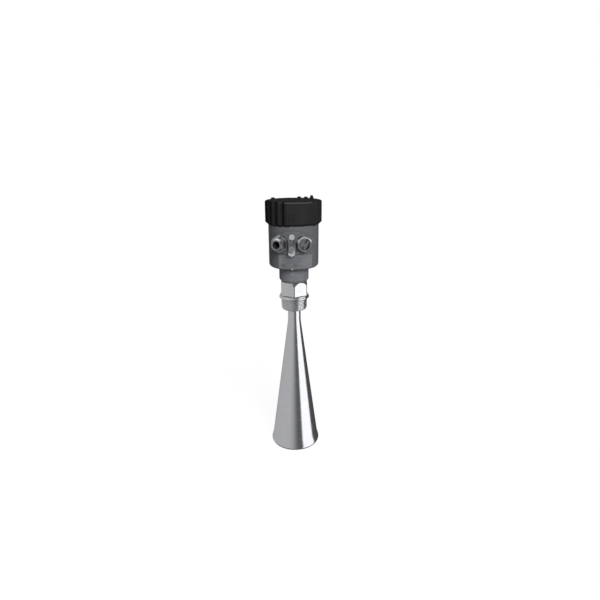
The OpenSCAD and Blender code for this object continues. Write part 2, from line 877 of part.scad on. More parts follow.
module breather_cap() {
    color(breather_colour)
        outwards(0, breather_z)
            difference() {
                union() {
                    bar(breather_d / 2, breather_face, breather_face + breather_t - 0.5);
                    translate([0, 0, breather_face + breather_t - 0.5 - weld / 2])
                        cylinder(r1 = breather_d / 2, r2 = breather_d / 2 - 0.7, h = 0.5 + weld / 2);
                    bar(breather_stem_d / 2 - fit, head_bore_r - 0.6, breather_face + weld);
                }
                bar(1.9, head_bore_r - 1, breather_face - 0.8);
                // Two slots under the cap let the air out
                for (turn = [0, 90])
                    rotate([0, 0, turn])
                        translate([-breather_d, -0.5, breather_face - 0.01])
                            cube([2 * breather_d, 1, 0.5]);
            }
}

module breather_filter() {
    color(ptfe_colour)
        outwards(0, breather_z)
            bar(1.85, head_bore_r + 0.6, head_bore_r + 1.4);
}

// ---------------------------------------------------------------- cable entries

module entry_seal() {
    ring(entry_hole_d / 2 + 0.9, entry_hole_d / 2 + 0.1, entry_face, entry_face + entry_seal_t);
}

module gland_seal_ring() {
    color(rubber_colour)
        outwards(-entry_angle, entry_z)
            entry_seal();
}

module plug_seal_ring() {
    color(rubber_colour)
        outwards(entry_angle, entry_z)
            entry_seal();
}

module gland_body() {
    color(nickel_colour)
        outwards(-entry_angle, entry_z)
            difference() {
                union() {
                    bar(entry_hole_d / 2 - 2 * fit, entry_face - entry_stub_len, gland_seat + weld);
                    hex_bar(gland_af, gland_seat, gland_hex_end, 1);
                    bar(gland_thread_d / 2, gland_hex_end - weld, gland_thread_end);
                }
                bar(cable_hole_d / 2 + 0.3, entry_face - entry_stub_len - 1, gland_thread_end + 1);
                bar(insert_bush_r + fit, insert_bush_start, gland_thread_end + 1);
            }
}

module gland_seal_insert() {
    color(rubber_colour)
        outwards(-entry_angle, entry_z)
            ring(insert_bush_r, cable_hole_d / 2, insert_bush_start, insert_bush_end);
}

module gland_washer() {
    color(nickel_colour)
        outwards(-entry_angle, entry_z)
            ring(cap_nut_bore_r - clear, cap_nut_hole_r, gland_washer_start, gland_washer_end);
}

module gland_cap_nut() {
    color(nickel_colour)
        outwards(-entry_angle, entry_z)
            difference() {
                union() {
                    hex_bar(cap_nut_af, cap_nut_start, cap_nut_end - 2.4, 0.6);
                    bar(cap_nut_af / 2 - 0.2, cap_nut_start, cap_nut_end - 1.4);
                    translate([0, 0, cap_nut_end - 1.4 - weld / 2])
                        cylinder(r1 = cap_nut_af / 2 - 0.2, r2 = cap_nut_af / 2 - 1.8, h = 1.4 + weld / 2);
                }
                bar(cap_nut_bore_r, cap_nut_start - 1, cap_nut_end - cap_nut_front);
                bar(cap_nut_hole_r, cap_nut_start - 1, cap_nut_end + 1);
            }
}

module blind_plug() {
    recess_r = plug_af / 2 - 2.6;
    color(nickel_colour)
        outwards(entry_angle, entry_z)
            difference() {
                union() {
                    difference() {
                        union() {
                            bar(entry_hole_d / 2 - 2 * fit, entry_face - entry_stub_len, plug_seat + weld);
                            hex_bar(plug_af, plug_seat, plug_end, 1.2);
                        }
                        bar(recess_r, plug_end - 2.6, plug_end + 1);
                    }
                    // Three lobes stand in the recess, for a pin key
                    for (i = [0:2])
                        rotate([0, 0, 30 + 120 * i])
                            translate([recess_r - 2.2, 0, plug_end - 3])
                                cylinder(r = 2, h = 2.4, $fn = 32);
                }
                // Hollow inner end
                bar(entry_hole_d / 2 - 2.5, entry_face - entry_stub_len - 1, entry_face - 1);
            }
}

// ---------------------------------------------------------------- lid

module lid_gasket() {
    color(rubber_colour)
        ring(gasket_outer_r, gasket_inner_r, collar_top_z, gasket_top_z);
}

// Positions one copy at each rib, given as a step from the group's middle
module at_rib(group, place, r) {
    rotate([0, 0, rib_turn + group * 360 / rib_groups + place * rib_step])
        translate([0, -r, 0])
            children();
}

// One rounded grip rib; its top tapers over the last stretch
module grip_rib(rise, taper_h, tip_r) {
    top = lid_top_z + rise;
    bar(rib_r, rib_base_z, top - taper_h);
    translate([0, 0, top - taper_h])
        cylinder(r1 = rib_r, r2 = tip_r, h = taper_h);
}

// Everything that the ribs may fill: chamfered at the bottom, leaning in at the top
module rib_envelope() {
    edge_r = lid_r + rib_proud;
    rotate_extrude()
        polygon([
            [0, rib_base_z],
            [lid_foot_r, rib_base_z],
            [edge_r, lid_base_z + lid_chamfer_h],
            [edge_r, lid_top_z - 1.5],
            [edge_r - 1.6, lid_top_z + lug_rise + 1],
            [0, lid_top_z + lug_rise + 1]
        ]);
}

module lid() {
    first = -(ribs_per_group - 1) / 2;
    lone = -lone_rib_share * 360 / rib_groups / rib_step;
    color(black_colour)
        difference() {
            union() {
                rotate_extrude()
                    cap_profile(lid_r, lid_foot_r, lid_base_z, lid_top_z, lid_edge, lid_chamfer_h);
                intersection() {
                    union() {
                        for (group = [0:rib_groups - 1]) {
                            for (i = [0:ribs_per_group - 1])
                                at_rib(group, first + i, rib_axis_r)
                                    grip_rib(rib_rise, 0.9, rib_r - 1);
                            // One rib by itself between two groups
                            at_rib(group, lone, rib_axis_r)
                                grip_rib(rib_rise, 0.9, rib_r - 1);
                        }
                        // Taller lug for a sealing wire
                        at_rib(lug_group, first, rib_axis_r)
                            grip_rib(lug_rise, lug_rise - 0.2, 1.5);
                    }
                    rib_envelope();
                }
            }
            // Hole for the sealing wire
            at_rib(lug_group, first, rib_axis_r)
                translate([0, 0, lid_top_z + lug_rise * 0.45])
                    rotate([0, 90, 0])
                        cylinder(d = lug_hole_d, h = rib_d + 2, center = true, $fn = 24);
            // Grooves between the ribs, and one before the first
            for (group = [0:rib_groups - 1])
                for (i = [0:ribs_per_group - 1])
                    at_rib(group, first + i - 0.5, groove_axis_r)
                        translate([0, 0, rib_base_z - 1])
                            cylinder(d = groove_d, h = lid_h + rib_rise + 4, $fn = 32);
            // Bore over the head's collar, the gasket's seat and the space under the top
            bar(lid_mouth_r, rib_base_z - 1, head_top_z + 1.6);
            bar(lid_bore_r, rib_base_z - 1, collar_top_z + clear);
            ring(lid_thread_core_r, head_bore_r, collar_top_z - 1, gasket_top_z);
            bar(head_bore_r - 2.4, rib_base_z - 1, lid_top_z - lid_top_t);
        }
}

// ---------------------------------------------------------------- what is drawn

horn_antenna();
process_fitting();
emitter_cone();
emitter_seal();
waveguide_tube();
radar_module();
swivel_seals();
swivel_stop_ring();
snap_ring();
housing_body();
swivel_stop_pin();
locking_screw();
electronics_insert();
insert_screws();
terminal_block();
terminal_screws();
inner_ground_screw();
ground_clamp();
ground_spring_washer();
ground_screw();
breather_cap();
breather_filter();
gland_seal_ring();
gland_body();
gland_seal_insert();
plug_seal_ring();
blind_plug();
lid_gasket();
lid();
gland_washer();
gland_cap_nut();
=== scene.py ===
"""Looks of a radar level transmitter: a turnable round head with a screw-on lid and two
side entries, a hexagonal process fitting with a taper thread, and a long horn antenna.

Everything is in metres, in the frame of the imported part: +Z up the instrument, the
entries towards -Y, and the origin in the sealing face under the fitting's collar.
"""

import json
import math

import bpy
import numpy as np
from mathutils import Matrix, Vector


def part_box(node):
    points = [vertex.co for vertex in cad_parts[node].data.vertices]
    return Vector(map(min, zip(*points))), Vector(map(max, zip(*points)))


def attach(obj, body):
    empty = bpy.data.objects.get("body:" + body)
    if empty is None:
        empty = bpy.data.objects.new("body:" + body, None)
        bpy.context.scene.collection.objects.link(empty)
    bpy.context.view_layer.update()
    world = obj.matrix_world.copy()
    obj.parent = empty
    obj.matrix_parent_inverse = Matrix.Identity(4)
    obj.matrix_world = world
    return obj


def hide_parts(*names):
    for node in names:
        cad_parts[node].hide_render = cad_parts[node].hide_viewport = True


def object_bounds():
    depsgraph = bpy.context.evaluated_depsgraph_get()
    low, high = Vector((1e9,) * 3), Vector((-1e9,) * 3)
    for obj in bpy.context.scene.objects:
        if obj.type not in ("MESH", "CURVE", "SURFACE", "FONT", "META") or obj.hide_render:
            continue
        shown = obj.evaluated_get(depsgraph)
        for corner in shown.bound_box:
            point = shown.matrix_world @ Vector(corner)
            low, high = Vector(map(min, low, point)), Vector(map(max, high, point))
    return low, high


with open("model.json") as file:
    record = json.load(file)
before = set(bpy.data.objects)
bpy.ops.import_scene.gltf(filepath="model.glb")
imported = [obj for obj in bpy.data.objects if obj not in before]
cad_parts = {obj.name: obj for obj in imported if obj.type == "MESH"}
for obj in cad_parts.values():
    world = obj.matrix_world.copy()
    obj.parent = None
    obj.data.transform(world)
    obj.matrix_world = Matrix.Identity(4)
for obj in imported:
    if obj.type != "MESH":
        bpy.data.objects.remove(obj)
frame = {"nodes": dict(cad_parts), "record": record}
cad_low, cad_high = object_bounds()

MM = 0.001

# Sizes in millimetres. Directions in radians: the hexagon's from +X, the others from the front
HEX_AF = 38.0
HEX_TURN = math.radians(274)  # direction of the front corner
HEX_EDGE = 3.6  # rounding of the upright edges
HEX_FOOT = 4.5  # the hexagon stands on a round boss
HEX_TOP = 25.0
COLLAR_R = 22.15
COLLAR_T = 2.0
SPIGOT_R = 15.0
TUBE_R = 8.55  # bore of the fitting
SOCKET_R = 9.55  # wider end of the bore, which holds the horn's neck
SOCKET_DEPTH = 12.0
THREAD_PITCH = 2.2
THREAD_D = 38.6  # over the crests, at the sealing face
THREAD_DEPTH = 1.3
TAPER = 0.03125  # radius lost along each millimetre of the thread
ROW_STEP = 0.08  # height between the rows of a helical thread
ENTRY_ANGLE = math.asin(15 / 38.4)  # the entries stand this far to each side of the front
ENTRY_Z = 86.0
GROUND_Z = 79.5
LOCK_Z = 40.1
NUB_Z = 50.0
HEAD_R = 35.8
HEAD_FOOT = 48.0
HEAD_CORNER = 4.6
LID_R = 40.0
RIM_Z = 140.5  # middle of the chamfer round the lid's top
DOME_R = 2000
FLOOR_R = 1400

FRONT = math.radians(3.1)  # the camera stands this far round from the entries' side
WORLD = 0.05  # how brightly the room lights matt surfaces


# ---------------------------------------------------------------- shader maths


class Wire:
    """A shader socket that takes part in Python expressions."""

    def __init__(self, tree, socket):
        self.tree = tree
        self.socket = socket

    def node(self, kind, settings=None, **values):
        """Adds a node. Settings are set first, then its sockets get values or links. A
        socket is named in words, or as _0, _1 and so on by its place."""
        made = self.tree.nodes.new(kind)
        for name, value in (settings or {}).items():
            if name == "stops":
                ramp = made.color_ramp
                while len(ramp.elements) < len(value):
                    ramp.elements.new(0.5)
                for stop, (place, colour) in zip(ramp.elements, value):
                    stop.position = place
                    stop.color = (*colour, 1)
            else:
                setattr(made, name, value)
        for name, value in values.items():
            key = int(name[1:]) if name[0] == "_" else name.replace("_", " ")
            plug(self.tree, made.inputs[key], value)
        return made

    def out(self, made, which=0):
        return Wire(self.tree, made.outputs[which])

    def maths(self, operation, *values):
        sockets = {f"_{i}": value for i, value in enumerate(values)}
        return self.out(self.node("ShaderNodeMath", {"operation": operation}, **sockets))

    def __add__(self, other):
        return self.maths("ADD", self, other)

    __radd__ = __add__

    def __mul__(self, other):
        return self.maths("MULTIPLY", self, other)

    __rmul__ = __mul__

    def __sub__(self, other):
        return self.maths("SUBTRACT", self, other)

    def __rsub__(self, other):
        return self.maths("SUBTRACT", other, self)

    def __truediv__(self, other):
        return self.maths("DIVIDE", self, other)

    def size(self):
        """The value without its sign."""
        return self.maths("ABSOLUTE", self)

    def larger(self, other):
        return self.maths("MAXIMUM", self, other)

    def clip(self):
        """The value held between 0 and 1."""
        return self.out(self.node("ShaderNodeClamp", None, Value=self))

    def ramp(self, *stops):
        """A value turned into a value or colour by stops of (place, colour)."""
        grey = [(p, c if isinstance(c, tuple) else (c, c, c)) for p, c in stops]
        return self.out(self.node("ShaderNodeValToRGB", {"stops": grey}, Fac=self))

    def between(self, low, high):
        """Two colours mixed by this value."""
        return self.out(self.node("ShaderNodeMix", {"data_type": "RGBA"}, _0=self, _6=low, _7=high), 2)


def plug(tree, socket, value):
    """Links a socket to a wire, or sets its value."""
    if isinstance(value, Wire):
        tree.links.new(value.socket, socket)
    elif isinstance(value, tuple) and len(value) == 3 and socket.type == "RGBA":
        socket.default_value = (*value, 1)
    else:
        socket.default_value = value


def reach(x, y):
    """Distance from an axis: the root of the sum of two squares."""
    square = x * x + y * y
    return square.maths("POWER", square, 0.5)


class Finish:
    """A material whose surface is one Principled shader."""

    def __init__(self, name, colour, roughness, metallic=0.0, **fixed):
        self.material = bpy.data.materials.new(name)
        self.material.use_nodes = True
        tree = self.material.node_tree
        self.shader = tree.nodes["Principled BSDF"]
        self.place = Wire(tree, tree.nodes.new("ShaderNodeTexCoord").outputs["Object"])
        self.set(Base_Color=colour, Roughness=roughness, Metallic=metallic, **fixed)
        self.material.diffuse_color = (*colour, 1)

    def set(self, **values):
        for name, value in values.items():
            plug(self.place.tree, self.shader.inputs[name.replace("_", " ")], value)

    def millimetres(self):
        """Object coordinates in millimetres."""
        scale = (1 / MM, 1 / MM, 1 / MM)
        return self.place.out(self.place.node("ShaderNodeMapping", None, Vector=self.place, Scale=scale))

    def noise(self, size, detail=2.0, rough=0.5):
        """Noise of about the given grain size in millimetres, from 0 to 1."""
        at = self.millimetres()
        made = at.node("ShaderNodeTexNoise", None, Vector=at, Scale=1 / size, Detail=detail, Roughness=rough)
        return at.out(made)

    def rings(self, z, around):
        """Fine turned rings: noise that changes along the axis and outwards only."""
        along = z * 3.0 + around
        return z.out(z.node("ShaderNodeTexNoise", {"noise_dimensions": "1D"}, W=along, Scale=1.0, Detail=3.0))

    def axes(self):
        """The three parts of the object coordinates, in millimetres."""
        at = self.millimetres()
        split = at.node("ShaderNodeSeparateXYZ", None, Vector=at)
        return [at.out(split, i) for i in range(3)]

    def relief(self, height, depth, edge=0.0):
        """Bump of a height from 0 to 1 and a depth in millimetres. Edge is the rounding of
        the edges under it, also in millimetres."""
        made = height.node("ShaderNodeBump", None, Height=height, Distance=depth * MM, Strength=1.0)
        if edge:
            rounded = height.node("ShaderNodeBevel", {"samples": 4}, Radius=edge * MM)
            plug(height.tree, made.inputs["Normal"], height.out(rounded))
        self.set(Normal=height.out(made))


# ---------------------------------------------------------------- finishes


def spun_steel():
    """Polished stainless steel: fine turned rings round the axis, faint cloudy smears."""
    f = Finish("spun_steel", (0.78, 0.785, 0.80), 0.16, 1.0)
    x, y, z = f.axes()
    around = reach(x, y)
    rings = f.rings(z, around)
    cloud = f.noise(9, 3)
    f.set(Roughness=0.10 + 0.07 * rings + 0.05 * cloud)
    f.set(Base_Color=cloud.ramp((0.3, (0.755, 0.76, 0.775)), (0.7, (0.80, 0.805, 0.82))))
    f.relief(rings, 0.004, 0.25)
    return f.material


def nickel(name="nickel", colour=(0.33, 0.334, 0.342), rough=0.2, top=None):
    """Satin nickel plate with faint clouds and tool marks. Above top millimetres over the
    entries' axes it carries painted highlights in spots."""
    f = Finish(name, colour, rough, 1.0)
    cloud = f.noise(4.0, 3)
    darker = tuple(0.93 * c for c in colour)
    tone = cloud.ramp((0.3, darker), (0.7, colour))
    if top is not None:
        x, y, z = f.axes()
        # Painted highlights: pale spots on the upper part, above top millimetres over the entries' axes
        bright = ((z - (ENTRY_Z + top)) / 2.5).clip() * f.noise(2.4, 1).ramp((0.42, 0.25), (0.55, 1.0))
        tone = bright.between(tone, (0.72, 0.725, 0.735))
    f.set(Base_Color=tone)
    f.set(Roughness=rough - 0.04 + 0.10 * f.noise(0.8, 2))
    f.relief(f.noise(0.35, 2), 0.002, 0.2)
    return f.material


def cast_coat():
    """Grey powder coat on a casting: orange-peel skin with tiny specks. The head is painted
    darker than the neck as shade, and a painted highlight sits on the small nub over the neck."""
    f = Finish("cast_coat", (0.13, 0.134, 0.142), 0.42, Specular_IOR_Level=0.02)
    peel = f.noise(0.55, 3, 0.55)
    patch = f.noise(14, 2)
    speck = f.noise(0.16, 1)
    mottle = 0.6 * patch + 0.4 * speck
    x, y, z = f.axes()
    # Painted shade: the head's copy of the coat is darker than the neck's
    neck = mottle.ramp((0.25, (0.146, 0.150, 0.161)), (0.75, (0.182, 0.186, 0.199)))
    head = mottle.ramp((0.25, (0.110, 0.113, 0.121)), (0.75, (0.137, 0.140, 0.149)))
    tone = ((z - (HEAD_FOOT - 0.5)) / 1.5).clip().between(neck, head)
    # Painted highlight: a paler spot on the front of the small nub over the neck
    across, up = x / 1.6, (z - NUB_Z) / 2.2
    painted_nub_highlight = (1.4 - (across * across + up * up)).clip() * (-20 - y).clip()
    f.set(Base_Color=painted_nub_highlight.between(tone, (0.33, 0.335, 0.345)))
    f.set(Roughness=0.36 + 0.14 * peel)
    f.relief(peel * 0.8 + speck * 0.2, 0.03, 0.5)
    return f.material


def moulded_black():
    """Black glass-filled plastic with an eroded texture, with painted shade in the lid's
    grooves and a painted highlight on the front of its rim's corner."""
    f = Finish("moulded_black", (0.022, 0.022, 0.023), 0.6, Specular_IOR_Level=0.0005)
    grain = f.noise(0.28, 2, 0.6)
    patch = f.noise(11, 2)
    plain = patch.ramp((0.3, (0.020, 0.020, 0.021)), (0.7, (0.026, 0.026, 0.027)))
    x, y, z = f.axes()
    around = reach(x, y)
    angle = x.maths("ARCTAN2", x, 0 - y) * (180 / math.pi)
    # Painted shade in the grooves: the distance in degrees from the nearest groove. At -65.5 and 114.5
    # degrees the solid has no groove, and only the painted shade stands for one.
    groove = None
    for place in (-65.5, -49.5, -33.5, -17.5, 114.5, 130.5, 146.5, 162.5):
        near = (1.35 - (angle - place).size() / 3.0).clip()
        groove = near if groove is None else groove.larger(near)
    groove = groove * ((around - (LID_R - 3.6)) * 2).clip() * ((RIM_Z + 1.5 - z) * 2).clip()
    # Painted highlight on the rim's corner, towards the front
    painted_rim_highlight = (1 - (z - RIM_Z).size() / 1.1).clip() * ((around - (LID_R - 2.4)) * 2).clip()
    painted_rim_highlight = painted_rim_highlight * ((38 - (angle - 10).size()) / 10).clip()
    plain_with_rim_highlight = (painted_rim_highlight * 0.85).between(plain, (0.10, 0.10, 0.103))
    f.set(Base_Color=groove.between(plain_with_rim_highlight, (0.006, 0.006, 0.006)))
    f.set(Roughness=0.44 + 0.16 * grain)
    f.relief(grain, 0.03, 0.35)
    return f.material


def soft(name, colour, rough=0.7):
    """Matt elastomer or moulded plastic with a fine grain."""
    f = Finish(name, colour, rough)
    grain = f.noise(0.4, 2)
    f.set(Base_Color=grain.ramp((0.3, tuple(0.85 * c for c in colour)), (0.7, colour)))
    f.set(Roughness=rough - 0.08 + 0.16 * grain)
    f.relief(grain, 0.01, 0.1)
    return f.material


def fitting_steel():
    """The fitting's turned steel, with a dark, rougher line of grime and painted shade where
    the hexagon meets its boss, and rougher flanks on the thread."""
    f = Finish("fitting_steel", (0.78, 0.785, 0.80), 0.16, 1.0)
    x, y, z = f.axes()
    around = reach(x, y)
    # Grime and painted shade: a dark line where the hexagon meets its boss
    joint_grime_and_shade = (1.2 - (z - HEX_FOOT).size() * 2).clip() * ((COLLAR_R - 0.55 - around) * 2).clip()
    rings = f.rings(z, around)
    cloud = f.noise(9, 3)
    below_crest = ((THREAD_D / 2 - 0.12 + z * TAPER - around) * 5).clip()
    cut = ((-0.4 - z) * 2).clip() * (around - 13).clip() * below_crest
    f.set(Roughness=0.12 + 0.07 * rings + 0.05 * cloud + 0.25 * joint_grime_and_shade + 0.3 * cut)
    clean = cloud.ramp((0.3, (0.755, 0.76, 0.775)), (0.7, (0.80, 0.805, 0.82)))
    f.set(Base_Color=joint_grime_and_shade.between(clean, (0.30, 0.30, 0.305)))
    f.relief(rings, 0.004, 0.2)
    return f.material


def zinc(name, colour, metal=0.35):
    """Dull zinc plate, half metal and half chalky, with a fine frost; painted shade darkens it
    round the screw and over its upper part."""
    f = Finish(name, colour, 0.5, metal)
    frost = f.noise(0.5, 3)
    pale = frost.ramp((0.3, tuple(0.85 * c for c in colour)), (0.7, colour))
    x, y, z = f.axes()
    up = z - GROUND_Z
    from_axis = reach(x, up)
    # Painted shade: dark round the screw and above a line just under its axis, pale below
    outside_painted_shade = ((from_axis - 4.2) * 2).clip() * ((-1.2 - up) / 2).clip()
    f.set(Base_Color=outside_painted_shade.between((0.19, 0.193, 0.2), pale))
    f.set(Roughness=0.42 + 0.16 * frost)
    f.relief(frost, 0.006, 0.2)
    return f.material


def plug_nickel():
    """The blanking plug's plate: dull and dark on the face, with a painted highlight on the upper edge."""
    f = Finish("plug_nickel", (0.4, 0.4, 0.4), 0.22, 1.0)
    x, y, z = f.axes()
    across = x * math.cos(ENTRY_ANGLE) + y * math.sin(ENTRY_ANGLE)
    up = z - ENTRY_Z
    from_axis = reach(across, up)
    cloud = f.noise(4.5, 2)
    face = cloud.ramp((0.35, (0.14, 0.142, 0.146)), (0.65, (0.25, 0.254, 0.262)))
    # Painted highlight: the upper part of the plug's edge is light
    edge = ((from_axis - 8.4) / 0.9).clip() * ((up - 1) / 4).clip()
    f.set(Base_Color=edge.between(face, (0.80, 0.805, 0.81)))
    f.set(Roughness=0.32 + 0.16 * cloud)
    f.relief(f.noise(0.35, 2), 0.002, 0.3)
    return f.material


steel = spun_steel()
fitting = fitting_steel()
plate = nickel()
screw = nickel("screw_steel", (0.58, 0.58, 0.58), 0.28)
coat = cast_coat()
black = moulded_black()
rubber = soft("black_rubber", (0.03, 0.03, 0.03), 0.75)
white = soft("white_cone", (0.85, 0.85, 0.82), 0.4)
potting = soft("dark_case", (0.06, 0.07, 0.09), 0.55)
green = soft("terminal_green", (0.08, 0.30, 0.14), 0.4)
pale = soft("breather_grey", (0.40, 0.405, 0.42), 0.5)

FINISHES = {
    "stainless": steel,
    "plated": plate,
    "screw_steel": screw,
    "grey_coat": coat,
    "black_plastic": black,
    "rubber": rubber,
    "ptfe": white,
    "potting": potting,
    "terminal_green": green,
    "breather_grey": pale,
}
for part in frame["record"]["subparts"]:
    for place in frame["nodes"][part["node"]].material_slots:
        place.material = FINISHES[part["material_slot"]]
for node, material in {
    "ground_clamp": zinc("clamp_zinc", (0.60, 0.605, 0.62)),
    "ground_screw": soft("screw_zinc", (0.225, 0.23, 0.238), 0.4),
    "blind_plug": plug_nickel(),
    "gland_body": nickel("gland_nickel", rough=0.36, top=5.5),
    "gland_cap_nut": nickel("cap_nut_nickel", rough=0.32, top=4.5),
}.items():
    for place in frame["nodes"][node].material_slots:
        place.material = material


# ---------------------------------------------------------------- shapes


def surface(name, points, material, closed_u=False, closed_v=False):
    """A mesh from a grid of points in millimetres, shape (rows, columns, 3), with one
    quad between neighbours. Its faces look along (columns' direction) x (rows' direction)."""
    rows, columns = points.shape[:2]
    u = np.arange(rows if closed_u else rows - 1)
    v = np.arange(columns if closed_v else columns - 1)
    u, v = np.meshgrid(u, v, indexing="ij")
    u2, v2 = (u + 1) % rows, (v + 1) % columns
    quads = np.stack([u * columns + v, u * columns + v2, u2 * columns + v2, u2 * columns + v], -1)
    quads = quads.reshape(-1, 4)
    mesh = bpy.data.meshes.new(name)
    mesh.from_pydata(points.reshape(-1, 3) * MM, [], quads)
    mesh.shade_smooth()
    made = bpy.data.objects.new(name, mesh)
    bpy.context.scene.collection.objects.link(made)
    mesh.materials.append(material)
    return made


def rounded(corners, steps=6):
    """A path of (across, up, radius) corners, in which each corner with a radius becomes a
    smooth curve: a quadratic blend between the two points one radius away from it."""
    corners = np.array(corners, float)
    path = []
    t = np.linspace(0, 1, steps + 1)[:, None]
    for i, (x, y, radius) in enumerate(corners):
        here = np.array([x, y])
        if radius <= 0:
            path.append(here[None])
            continue
        before, after = corners[i - 1, :2] - here, corners[(i + 1) % len(corners), :2] - here
        near = here + before / np.linalg.norm(before) * radius
        far = here + after / np.linalg.norm(after) * radius
        path.append((1 - t) ** 2 * near + 2 * t * (1 - t) * here + t**2 * far)
    return np.concatenate(path)


def turned(name, corners, material, columns=128, steps=6, sharp=40):
    """A ring-shaped solid: a closed path of (radius, height) carried round +Z. The path
    runs up the outside and down the bore."""
    path = rounded(corners, steps)
    angle = np.linspace(0, 2 * math.pi, columns + 1)[:-1]
    r, a = np.meshgrid(path[:, 0], angle, indexing="ij")
    z = np.broadcast_to(path[:, 1][:, None], r.shape)
    made = surface(name, np.stack([r * np.cos(a), r * np.sin(a), z], -1), material, True, True)
    made.data.set_sharp_from_angle(angle=math.radians(sharp))
    return made


def smooth(x):
    """0 up to 0, 1 from 1, and a smooth step between."""
    x = np.clip(x, 0, 1)
    return x * x * (3 - 2 * x)


def soften(mesh, low, high):
    """Shades the mesh's edges smoothly between two heights in millimetres."""
    place = np.empty(len(mesh.vertices) * 3, np.float32)
    mesh.vertices.foreach_get("co", place)
    height = place.reshape(-1, 3)[:, 2] / MM
    ends = np.empty(len(mesh.edges) * 2, np.int32)
    mesh.edges.foreach_get("vertices", ends)
    ends = height[ends.reshape(-1, 2)]
    creased = np.empty(len(mesh.edges), bool)
    mesh.edges.foreach_get("use_edge_sharp", creased)
    creased &= ~((ends.min(1) > low) & (ends.max(1) < high))
    mesh.edges.foreach_set("use_edge_sharp", creased)


# ---------------------------------------------------------------- process fitting and horn


def hexagon_radius(angle):
    """Distance from the axis to a hexagon with rounded corners: the flat's distance over
    the cosine on the flats, and the far side of a small circle near each corner."""
    flat = HEX_AF / 2
    off = np.abs((np.degrees(angle - HEX_TURN) + 30) % 60 - 30)
    centre = (flat - HEX_EDGE) / math.cos(math.radians(30))
    off = np.radians(off)
    turn = math.radians(30) - math.atan(centre * 0.5 / flat)
    arc = centre * np.cos(off) + np.sqrt(np.maximum(HEX_EDGE**2 - (centre * np.sin(off)) ** 2, 0))
    return np.where(off < turn, arc, flat / np.cos(math.radians(30) - off))


def process_fitting():
    """One closed surface: up the outside over the helical taper thread, the collar, the
    hexagon with its turned top and the grooved spigot, and down the stepped bore."""
    low, high = (np.array(corner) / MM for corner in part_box("process_fitting"))
    foot, top = low[2], high[2]
    near = np.linspace(-5.2, 5.2, 15)
    flat = np.linspace(6.4, 53.6, 17)
    sector = np.concatenate([near, flat])
    angle = HEX_TURN + np.radians(np.concatenate([sector + 60 * i for i in range(6)]))
    rows = []

    def circle(radius, height):
        rows.append(np.stack([np.full_like(angle, radius), np.full_like(angle, height)], -1))

    def path(corners, steps=4):
        for radius, height in rounded(corners, steps):
            circle(radius, height)

    # Thread: a soft ridge that climbs one pitch a turn, fading out at both ends
    root_at_foot = THREAD_D / 2 + foot * TAPER - THREAD_DEPTH
    circle(SOCKET_R, foot + 0.4)
    circle(SOCKET_R + 0.4, foot)
    circle(root_at_foot - 0.5, foot)
    circle(root_at_foot - 0.1, foot + 0.35)
    for z in np.arange(foot + 0.6, -0.35, ROW_STEP):
        turn = (z / THREAD_PITCH - angle / (2 * math.pi)) % 1
        ridge = smooth((1 - np.abs(2 * turn - 1)) / 0.6)
        ridge = ridge * smooth((z - foot - 0.8) / 2.4) * smooth((-0.5 - z) / 1.2)
        root = THREAD_D / 2 + z * TAPER - THREAD_DEPTH
        rows.append(np.stack([root + THREAD_DEPTH * ridge, np.full_like(angle, z)], -1))
    # Collar, and the round boss over it
    path([
        (18.0, -0.3, 0),
        (18.2, 0.0, 0),
        (COLLAR_R, 0, 0.5),
        (COLLAR_R, COLLAR_T, 0.6),
        (COLLAR_R - 0.85, COLLAR_T + 0.6, 0.3),
        (COLLAR_R - 1.25, HEX_FOOT - 0.1, 0.2),
        (20.5, HEX_FOOT, 0),
    ], 5)
    # Hexagon: its flats, cut by a steep cone at the top. Gap goes from 0, where the cone is
    # well inside the flats, to 1, where it is well outside, and blends the two between.
    hexagon = hexagon_radius(angle)
    rim = np.minimum(hexagon - 0.5, 20.4)
    for z, radius in ((HEX_FOOT, rim), (HEX_FOOT + 0.15, rim), (HEX_FOOT + 0.4, hexagon)):
        rows.append(np.stack([radius, np.full_like(angle, z)], -1))
    for z in np.concatenate([[6, 8, 12, 15, 17], np.linspace(17.6, HEX_TOP, 24)]):
        cone = HEX_AF / 2 + (HEX_TOP - z) / 2.1
        gap = np.clip(0.5 + (cone - hexagon) / 0.8, 0, 1)
        radius = hexagon * gap + cone * (1 - gap) - 0.4 * gap * (1 - gap)
        rows.append(np.stack([radius, np.full_like(angle, z)], -1))
    circle(HEX_AF / 2 - 0.8, HEX_TOP + 0.1)
    # Spigot with the grooves of two seals, the locking screw and the snap ring
    path([(SPIGOT_R + 0.5, HEX_TOP + 0.1, 0), (SPIGOT_R, HEX_TOP + 0.4, 0)])
    for middle, width, depth in (
        (29.8, 1.95, 1.8),
        (34.3, 1.95, 1.8),
        (LOCK_Z, 6.0, 1.0),
        (57.875, 1.25, 1.0),
    ):
        start, end = middle - width / 2, middle + width / 2
        bottom = SPIGOT_R - depth
        path([(SPIGOT_R, start, 0.1), (bottom, start, 0.15), (bottom, end, 0.15), (SPIGOT_R, end, 0.1)], 2)
    step = foot + SOCKET_DEPTH
    path([(SPIGOT_R, top, 0.5), (TUBE_R, top, 0.3), (TUBE_R, step, 0), (SOCKET_R, step, 0)], 3)
    grid = np.stack(rows)
    r, z = grid[..., 0], grid[..., 1]
    points = np.stack([r * np.cos(angle), r * np.sin(angle), z], -1)
    made = surface("threaded_fitting", points, fitting, True, True)
    made.data.set_sharp_from_angle(angle=math.radians(32))
    soften(made.data, foot + 0.7, -0.35)
    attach(made, "process_side")
    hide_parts("process_fitting")


